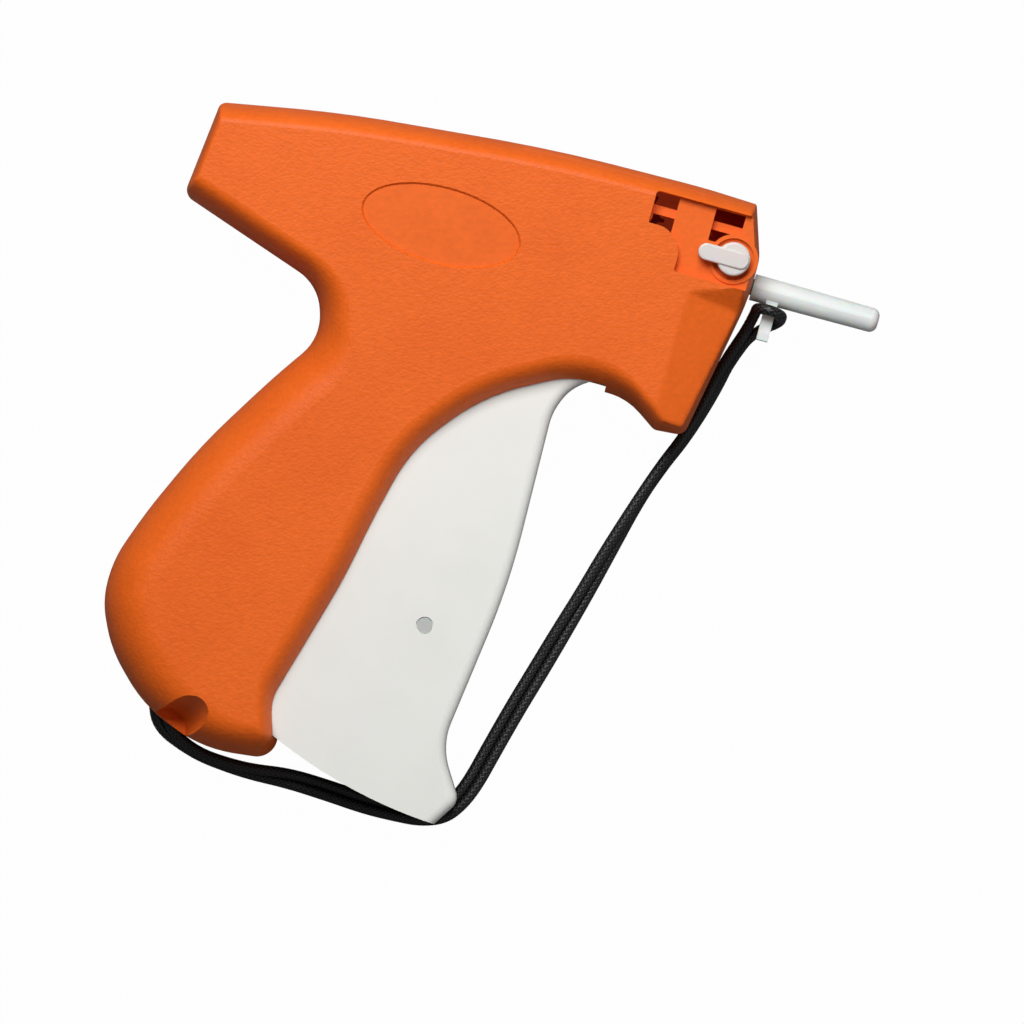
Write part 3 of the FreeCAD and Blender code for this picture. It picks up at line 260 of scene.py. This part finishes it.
def from_display(red, green, blue):
    """A colour given as it shows on a screen, 0 to 255, turned into light values."""
    parts = []
    for value in (red, green, blue):
        share = value / 255
        parts.append(share / 12.92 if share <= 0.04045 else ((share + 0.055) / 1.055) ** 2.4)
    return tuple(parts)


def new_group(name, inputs, outputs):
    """An empty shader node group with number inputs and named outputs."""
    group = bpy.data.node_groups.new(name, "ShaderNodeTree")
    for label, default in inputs.items():
        socket = group.interface.new_socket(label, in_out="INPUT", socket_type="NodeSocketFloat")
        socket.default_value = default
    for label, kind in outputs.items():
        group.interface.new_socket(label, in_out="OUTPUT", socket_type=kind)
    return group, group.nodes.new("NodeGroupInput"), group.nodes.new("NodeGroupOutput")


# %% [markdown]
# Moulded plastic takes its skin from the steel of the mould. On the casing that is a spark
# eroded grain of small rounded pebbles, on the trigger it is nearly smooth, and on the
# inside of the recess it is polished. One group makes the grain for all of them: cells for
# the pebbles, a little noise so that they differ, and a strength for each use. The pebbles are
# half as long again across the view as along it.

# %% Grain group
PEBBLE_STRETCH = (1.5, 1.0, 1.0)

grain_group, grain_in, grain_out = new_group(
    "mould_grain", {"Scale": 1900.0, "Strength": 1.0},
    {"Height": "NodeSocketFloat", "Tone": "NodeSocketFloat"})
tree = grain_group
link = tree.links.new
coordinates = add_node(tree, "ShaderNodeTexCoord")
drawn_out = add_node(tree, "ShaderNodeMapping", vector_type="TEXTURE",
                     sockets={"Rotation": (0.0, 0.0, ROLL), "Scale": PEBBLE_STRETCH})
pebbles = add_node(tree, "ShaderNodeTexVoronoi", feature="SMOOTH_F1", sockets={"Smoothness": 0.6})
fine = add_node(tree, "ShaderNodeTexNoise", sockets={"Detail": 3.0, "Roughness": 0.6})
double = add_node(tree, "ShaderNodeMath", operation="MULTIPLY", sockets={1: 0.55})
link(coordinates.outputs["Object"], drawn_out.inputs["Vector"])
link(drawn_out.outputs["Vector"], pebbles.inputs["Vector"])
link(drawn_out.outputs["Vector"], fine.inputs["Vector"])
link(grain_in.outputs["Scale"], pebbles.inputs["Scale"])
link(grain_in.outputs["Scale"], double.inputs[0])
link(double.outputs[0], fine.inputs["Scale"])
both = add_node(tree, "ShaderNodeMath", operation="SUBTRACT")
link(fine.outputs["Fac"], both.inputs[0])
link(pebbles.outputs["Distance"], both.inputs[1])
scaled = add_node(tree, "ShaderNodeMath", operation="MULTIPLY")
link(both.outputs[0], scaled.inputs[0])
link(grain_in.outputs["Strength"], scaled.inputs[1])
link(scaled.outputs[0], grain_out.inputs["Height"])
link(fine.outputs["Fac"], grain_out.inputs["Tone"])
print("grain group ready")

# %% [markdown]
# Moulded plastic that is handled has slow, cloudy changes of tone. A second group gives them
# as one soft mask, the same for every finish, so that each needs only its own two colours.

# %% Handling group
handling_group, handling_in, handling_out = new_group(
    "handling", {"Scale": 60.0, "Low": 0.4, "High": 0.65}, {"Mask": "NodeSocketFloat"})
tree = handling_group
link = tree.links.new
coordinates = add_node(tree, "ShaderNodeTexCoord")
clouds = add_node(tree, "ShaderNodeTexNoise", sockets={"Detail": 4.0, "Roughness": 0.55})
spread = add_node(tree, "ShaderNodeMapRange")
link(coordinates.outputs["Object"], clouds.inputs["Vector"])
link(handling_in.outputs["Scale"], clouds.inputs["Scale"])
link(clouds.outputs["Fac"], spread.inputs["Value"])
link(handling_in.outputs["Low"], spread.inputs["From Min"])
link(handling_in.outputs["High"], spread.inputs["From Max"])
link(spread.outputs["Result"], handling_out.inputs["Mask"])
print("handling group ready")

# %% [markdown]
# A finish is a colour that wanders a little, a roughness that wanders with it and a bump
# from the grain. Every plastic here is made this way, with its own values.

# %% Moulded plastics


def moulded(name, colour, deep, roughness, grain_scale, grain_depth, spread=0.06, **sockets):
    """Moulded plastic: grain in the bump, slow changes in colour and roughness."""
    material, tree, shader = start_material(name, colour, roughness, **sockets)
    link = tree.links.new
    grain = add_node(tree, "ShaderNodeGroup", node_tree=grain_group, sockets={"Scale": grain_scale})
    handled = add_node(tree, "ShaderNodeGroup", node_tree=handling_group)
    mix = add_node(tree, "ShaderNodeMix", data_type="RGBA")
    mix.inputs["A"].default_value = (*colour, 1.0)
    mix.inputs["B"].default_value = (*deep, 1.0)
    link(handled.outputs["Mask"], mix.inputs["Factor"])
    link(mix.outputs["Result"], shader.inputs["Base Color"])
    rough = add_node(tree, "ShaderNodeMapRange",
                     sockets={"To Min": roughness - spread, "To Max": roughness + spread})
    link(grain.outputs["Tone"], rough.inputs["Value"])
    link(rough.outputs["Result"], shader.inputs["Roughness"])
    bump = add_node(tree, "ShaderNodeBump", sockets={"Strength": 1.0, "Distance": grain_depth * MM})
    link(grain.outputs["Height"], bump.inputs["Height"])
    link(bump.outputs["Normal"], shader.inputs["Normal"])
    return material


shell_orange = moulded("shell_orange", from_display(240, 105, 26), from_display(236, 101, 23),
                       0.5, 1900.0, 0.05, Specular_IOR_Level=0.24)
trigger_white = moulded("trigger_white", from_display(244, 244, 239), from_display(241, 241, 236),
                        0.38, 900.0, 0.004)
frosted = moulded("frosted", from_display(238, 240, 238), from_display(232, 235, 233),
                  0.34, 700.0, 0.006, Subsurface_Weight=0.35, Subsurface_Scale=0.002)
# The knob is the cap's milky plastic with a warm tint painted in: painted light, for the orange shell's light
# that shows through it.
knob_milky_orange_lit = moulded("knob_milky_orange_lit", from_display(226, 219, 216), from_display(219, 211, 207),
                     0.34, 700.0, 0.006, Subsurface_Weight=0.35, Subsurface_Scale=0.002)
pin_milky = moulded("pin_milky", from_display(206, 207, 203), from_display(198, 200, 197),
                    0.3, 700.0, 0.004, Subsurface_Weight=0.3, Subsurface_Scale=0.002)
acetal = moulded("acetal", from_display(226, 222, 210), from_display(220, 216, 203), 0.4, 900.0, 0.004)
feed_brown = moulded("feed_brown", from_display(150, 62, 34), from_display(138, 55, 29), 0.45, 900.0, 0.004)
hub_green = moulded("hub_green", from_display(70, 160, 110), from_display(64, 150, 102), 0.35, 900.0, 0.004)
rubber = moulded("rubber", from_display(28, 28, 29), from_display(24, 24, 25), 0.7, 1200.0, 0.01)
print("plastics ready")

# %% [markdown]
# The mould was polished where the casing is sunk in, on the floor of the head's recess and on
# the floor of the oval badge, and on the flat facet in front. These faces are found by the way
# they look, and by their height. Most of the grain is left out there.

# %% Polished faces
FACE_HEIGHT = 0.026
SUNK_BY = 0.0002
FACET_SLOPE = math.radians(18)
NEAR = math.cos(math.radians(2))
GRAIN_LOST = 0.9


def facing(tree, direction):
    """1 where a face looks within 2 degrees of a direction."""
    geometry = add_node(tree, "ShaderNodeNewGeometry")
    along = add_node(tree, "ShaderNodeVectorMath", operation="DOT_PRODUCT", sockets={1: direction})
    near = add_node(tree, "ShaderNodeMath", operation="GREATER_THAN", sockets={1: NEAR})
    tree.links.new(geometry.outputs["True Normal"], along.inputs[0])
    tree.links.new(along.outputs["Value"], near.inputs[0])
    return near.outputs[0]


tree = shell_orange.node_tree
link = tree.links.new
coordinates = add_node(tree, "ShaderNodeTexCoord")
split = add_node(tree, "ShaderNodeSeparateXYZ")
sunk = add_node(tree, "ShaderNodeMath", operation="LESS_THAN", sockets={1: FACE_HEIGHT - SUNK_BY})
sunk_floor = add_node(tree, "ShaderNodeMath", operation="MULTIPLY")
polished = add_node(tree, "ShaderNodeMath", operation="MAXIMUM")
grained = add_node(tree, "ShaderNodeMath", operation="MULTIPLY_ADD", sockets={1: -GRAIN_LOST, 2: 1.0})
facet = facing(tree, (math.sin(FACET_SLOPE), 0.0, math.cos(FACET_SLOPE)))
link(coordinates.outputs["Object"], split.inputs[0])
link(split.outputs["Z"], sunk.inputs[0])
link(sunk.outputs[0], sunk_floor.inputs[0])
link(facing(tree, (0.0, 0.0, 1.0)), sunk_floor.inputs[1])
link(sunk_floor.outputs[0], polished.inputs[0])
link(facet, polished.inputs[1])
link(polished.outputs[0], grained.inputs[0])
link(grained.outputs[0], tree.nodes["Bump"].inputs["Strength"])
print("polished faces ready")

# %% [markdown]
# The facet has no sharp edge: it runs into the sides of the nose with a soft blend. The blend
# is drawn by a bevelled normal, in front of one x and below one y only. So that the inside of
# the head isn't black behind the windows, the plastic glows a little in a box round that inside:
# painted light, which stands in for the light that reaches in there. Last, the tone of the grain
# wanders with its height: besides its own random tone, that is a painted shade in its low places
# and a painted highlight on its tops. A mix node keeps a row of sockets for each kind of data, so
# those of vectors and colours are picked by their places.

# %% Facet, painted inner light and painted grain shade
FACET_FROM = (0.0132, -0.0025)
FACET_BLEND = 0.0016
# Painted light: within this box round the inside of the head the plastic glows in this colour, though no lamp
# is there.
PAINTED_LIGHT_MIDDLE = (-0.004, 0.002, 0.0115)
PAINTED_LIGHT_HALF = (0.020, 0.0135, 0.0112)
PAINTED_INNER_LIGHT = (0.06, 0.010, 0.003)
# Painted shade and highlight on the grain, along with its own random tone: its low places darker and its high
# places lighter.
GRAIN_SHADE_FROM = (0.3, 0.7)
GRAIN_SHADE_TO = (0.93, 1.05)
VECTOR_A, VECTOR_B = 4, 5
VECTOR_OUT, COLOUR_OUT = 1, 2

bevelled = add_node(tree, "ShaderNodeBevel", samples=4, sockets={"Radius": FACET_BLEND})
plain = add_node(tree, "ShaderNodeNewGeometry")
forward = add_node(tree, "ShaderNodeMath", operation="GREATER_THAN", sockets={1: FACET_FROM[0]})
lower = add_node(tree, "ShaderNodeMath", operation="LESS_THAN", sockets={1: FACET_FROM[1]})
corner = add_node(tree, "ShaderNodeMath", operation="MULTIPLY")
softened = add_node(tree, "ShaderNodeMix", data_type="VECTOR")
link(split.outputs["X"], forward.inputs[0])
link(split.outputs["Y"], lower.inputs[0])
link(forward.outputs[0], corner.inputs[0])
link(lower.outputs[0], corner.inputs[1])
link(corner.outputs[0], softened.inputs["Factor"])
link(plain.outputs["Normal"], softened.inputs[VECTOR_A])
link(bevelled.outputs["Normal"], softened.inputs[VECTOR_B])
link(softened.outputs[VECTOR_OUT], tree.nodes["Bump"].inputs["Normal"])

shader = tree.nodes["Principled BSDF"]
grain = next(node for node in tree.nodes if node.type == "GROUP" and node.node_tree == grain_group)
wandering = next(node for node in tree.nodes if node.type == "MIX" and node.data_type == "RGBA")
# The grain's random tone, which follows its height, darkens the colour in the pits and lightens it on the
# tops: painted shade and painted highlight.
grain_speckle_and_shade = add_node(tree, "ShaderNodeMapRange",
                   sockets={"From Min": GRAIN_SHADE_FROM[0], "From Max": GRAIN_SHADE_FROM[1],
                            "To Min": GRAIN_SHADE_TO[0], "To Max": GRAIN_SHADE_TO[1]})
toned = add_node(tree, "ShaderNodeHueSaturation")
link(grain.outputs["Tone"], grain_speckle_and_shade.inputs["Value"])
link(grain_speckle_and_shade.outputs[0], toned.inputs["Value"])
link(wandering.outputs[COLOUR_OUT], toned.inputs["Color"])
link(toned.outputs[0], shader.inputs["Base Color"])

# Painted light: a mask that is 1 within the box where the plastic glows.
from_middle = add_node(tree, "ShaderNodeVectorMath", operation="SUBTRACT", sockets={1: PAINTED_LIGHT_MIDDLE})
in_halves = add_node(tree, "ShaderNodeVectorMath", operation="DIVIDE", sockets={1: PAINTED_LIGHT_HALF})
either_way = add_node(tree, "ShaderNodeVectorMath", operation="ABSOLUTE")
apart = add_node(tree, "ShaderNodeSeparateXYZ")
wider = add_node(tree, "ShaderNodeMath", operation="MAXIMUM")
widest = add_node(tree, "ShaderNodeMath", operation="MAXIMUM")
in_painted_light_box = add_node(tree, "ShaderNodeMath", operation="LESS_THAN", sockets={1: 1.0})
link(coordinates.outputs["Object"], from_middle.inputs[0])
link(from_middle.outputs[0], in_halves.inputs[0])
link(in_halves.outputs[0], either_way.inputs[0])
link(either_way.outputs[0], apart.inputs[0])
link(apart.outputs["X"], wider.inputs[0])
link(apart.outputs["Y"], wider.inputs[1])
link(wider.outputs[0], widest.inputs[0])
link(apart.outputs["Z"], widest.inputs[1])
link(widest.outputs[0], in_painted_light_box.inputs[0])
# Painted light, no lamp: the glow colour goes to the emission within the box.
shader.inputs["Emission Color"].default_value = (*PAINTED_INNER_LIGHT, 1.0)
link(in_painted_light_box.outputs[0], shader.inputs["Emission Strength"])
print("facet, glow and speckle ready")

# %% [markdown]
# The steel pieces are turned or drawn, so their roughness is streaked along or round them.
# The cord is polyester, nearly black. The mesh carries the braid's height as an attribute, and
# the colour follows that: a painted shade, black, in the pits of the braid and a painted sheen,
# dark grey, on its crowns.

# %% Steel and yarn


def drawn_steel(name, colour, roughness):
    """Bare steel with fine streaks in its roughness."""
    material, tree, shader = start_material(name, colour, roughness, Metallic=1.0)
    link = tree.links.new
    coordinates = add_node(tree, "ShaderNodeTexCoord")
    stretch = add_node(tree, "ShaderNodeMapping", sockets={"Scale": (300.0, 4000.0, 4000.0)})
    streaks = add_node(tree, "ShaderNodeTexNoise", sockets={"Detail": 2.0})
    link(coordinates.outputs["Object"], stretch.inputs["Vector"])
    link(stretch.outputs["Vector"], streaks.inputs["Vector"])
    rough = add_node(tree, "ShaderNodeMapRange",
                     sockets={"To Min": roughness - 0.08, "To Max": roughness + 0.08})
    link(streaks.outputs["Fac"], rough.inputs["Value"])
    link(rough.outputs["Result"], shader.inputs["Roughness"])
    return material


steel = drawn_steel("steel", (0.55, 0.56, 0.58), 0.28)
spring_steel = drawn_steel("spring_steel", (0.42, 0.43, 0.45), 0.34)

yarn, tree, shader = start_material("yarn", from_display(14, 14, 15), 0.42)
link = tree.links.new
# Painted light by the braid's height: the crowns take a dark grey painted sheen and the pits a black painted
# shade.
crowns = add_node(tree, "ShaderNodeAttribute", attribute_name="crown")
painted_crown_sheen = add_node(tree, "ShaderNodeMapRange", sockets={"From Min": 0.86, "From Max": 1.0})
mix = add_node(tree, "ShaderNodeMix", data_type="RGBA")
mix.inputs["A"].default_value = (*from_display(2, 2, 3), 1.0)
mix.inputs["B"].default_value = (*from_display(66, 66, 69), 1.0)
link(crowns.outputs["Fac"], painted_crown_sheen.inputs["Value"])
link(painted_crown_sheen.outputs["Result"], mix.inputs["Factor"])
link(mix.outputs["Result"], shader.inputs["Base Color"])
fibres = add_node(tree, "ShaderNodeGroup", node_tree=grain_group, sockets={"Scale": 9000.0})
bump = add_node(tree, "ShaderNodeBump", sockets={"Strength": 0.6, "Distance": 0.03 * MM})
link(fibres.outputs["Height"], bump.inputs["Height"])
link(bump.outputs["Normal"], shader.inputs["Normal"])
print("steel and yarn ready")

# %% [markdown]
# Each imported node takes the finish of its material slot.

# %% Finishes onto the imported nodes
FINISH = {
    "orange_shell": shell_orange,
    "white_plastic": trigger_white,
    "frosted_plastic": frosted,
    "gear_plastic": acetal,
    "feed_plastic": feed_brown,
    "hub_plastic": hub_green,
    "steel": steel,
    "spring_steel": spring_steel,
    "rubber_pad": rubber,
    "black_cord": yarn,
}
OWN_FINISH = {"needle_lock_knob": knob_milky_orange_lit, "trigger_cross_pin": pin_milky}
for entry in frame["record"]["subparts"]:
    piece = nodes[entry["node"]]
    finish = OWN_FINISH.get(entry["node"], FINISH[entry["material_slot"]])
    if piece.material_slots:
        for place in piece.material_slots:
            place.material = finish
    else:
        piece.data.materials.append(finish)
braided_cord.data.materials.append(yarn)

# %% [markdown]
# The floor is a wide pale sheet. It shows nearly white to the camera by itself, and the rest
# of its brightness comes from the lamps, so that it keeps a soft shadow.

# %% Floor
FLOOR_SHOW = 0.985
bpy.ops.mesh.primitive_plane_add(size=6.0, location=(0, 0, -0.0002))
floor = bpy.context.object
floor.name = "floor"
material = bpy.data.materials.new("floor")
material.use_nodes = True
tree = material.node_tree
link = tree.links.new
tree.nodes.clear()
matt = add_node(tree, "ShaderNodeBsdfDiffuse", sockets={"Color": (0.22, 0.22, 0.22, 1.0)})
shown = add_node(tree, "ShaderNodeEmission", sockets={"Color": (1.0, 1.0, 1.0, 1.0), "Strength": 1.0})
rays = add_node(tree, "ShaderNodeLightPath")
share = add_node(tree, "ShaderNodeMath", operation="MULTIPLY", sockets={1: FLOOR_SHOW})
blend = add_node(tree, "ShaderNodeMixShader")
out = add_node(tree, "ShaderNodeOutputMaterial")
link(rays.outputs["Is Camera Ray"], share.inputs[0])
link(share.outputs[0], blend.inputs["Fac"])
link(matt.outputs[0], blend.inputs[1])
link(shown.outputs[0], blend.inputs[2])
link(blend.outputs[0], out.inputs["Surface"])
floor.data.materials.append(material)
print("floor ready")

# %% [markdown]
# Light: one soft box hangs close above the top of the tool, so that the head is brighter than
# the butt and the rounded edges darken all round. A weaker one fills from the right, and the
# world adds an even level. To the camera itself the world is white, like the floor.

# %% Lights
WORLD_LEVEL = 0.12


def soft_box(name, place, size, power):
    """A square area lamp that looks at the middle of the tool."""
    lamp = bpy.data.lights.new(name, "AREA")
    lamp.size = size
    lamp.energy = power
    holder = bpy.data.objects.new(name, lamp)
    holder.location = place
    middle = Vector((-0.02, -0.05, 0.01))
    holder.rotation_euler = (middle - holder.location).to_track_quat("-Z", "Y").to_euler()
    bpy.context.scene.collection.objects.link(holder)
    return holder


soft_box("key", Vector((-0.2, 0.4, 0.7)), 0.45, 7.0)
soft_box("fill", Vector((0.9, -0.3, 0.8)), 0.9, 1.2)

world = bpy.data.worlds.new("studio")
bpy.context.scene.world = world
world.use_nodes = True
tree = world.node_tree
link = tree.links.new
tree.nodes.clear()
level = add_node(tree, "ShaderNodeBackground",
                 sockets={"Color": (1.0, 1.0, 1.0, 1.0), "Strength": WORLD_LEVEL})
white = add_node(tree, "ShaderNodeBackground", sockets={"Color": (1.0, 1.0, 1.0, 1.0), "Strength": 1.0})
rays = add_node(tree, "ShaderNodeLightPath")
pick = add_node(tree, "ShaderNodeMixShader")
out = add_node(tree, "ShaderNodeOutputWorld")
link(rays.outputs["Is Camera Ray"], pick.inputs["Fac"])
link(level.outputs[0], pick.inputs[1])
link(white.outputs[0], pick.inputs[2])
link(pick.outputs[0], out.inputs["Surface"])
bpy.context.scene.view_settings.view_transform = "Standard"
print("lights ready")
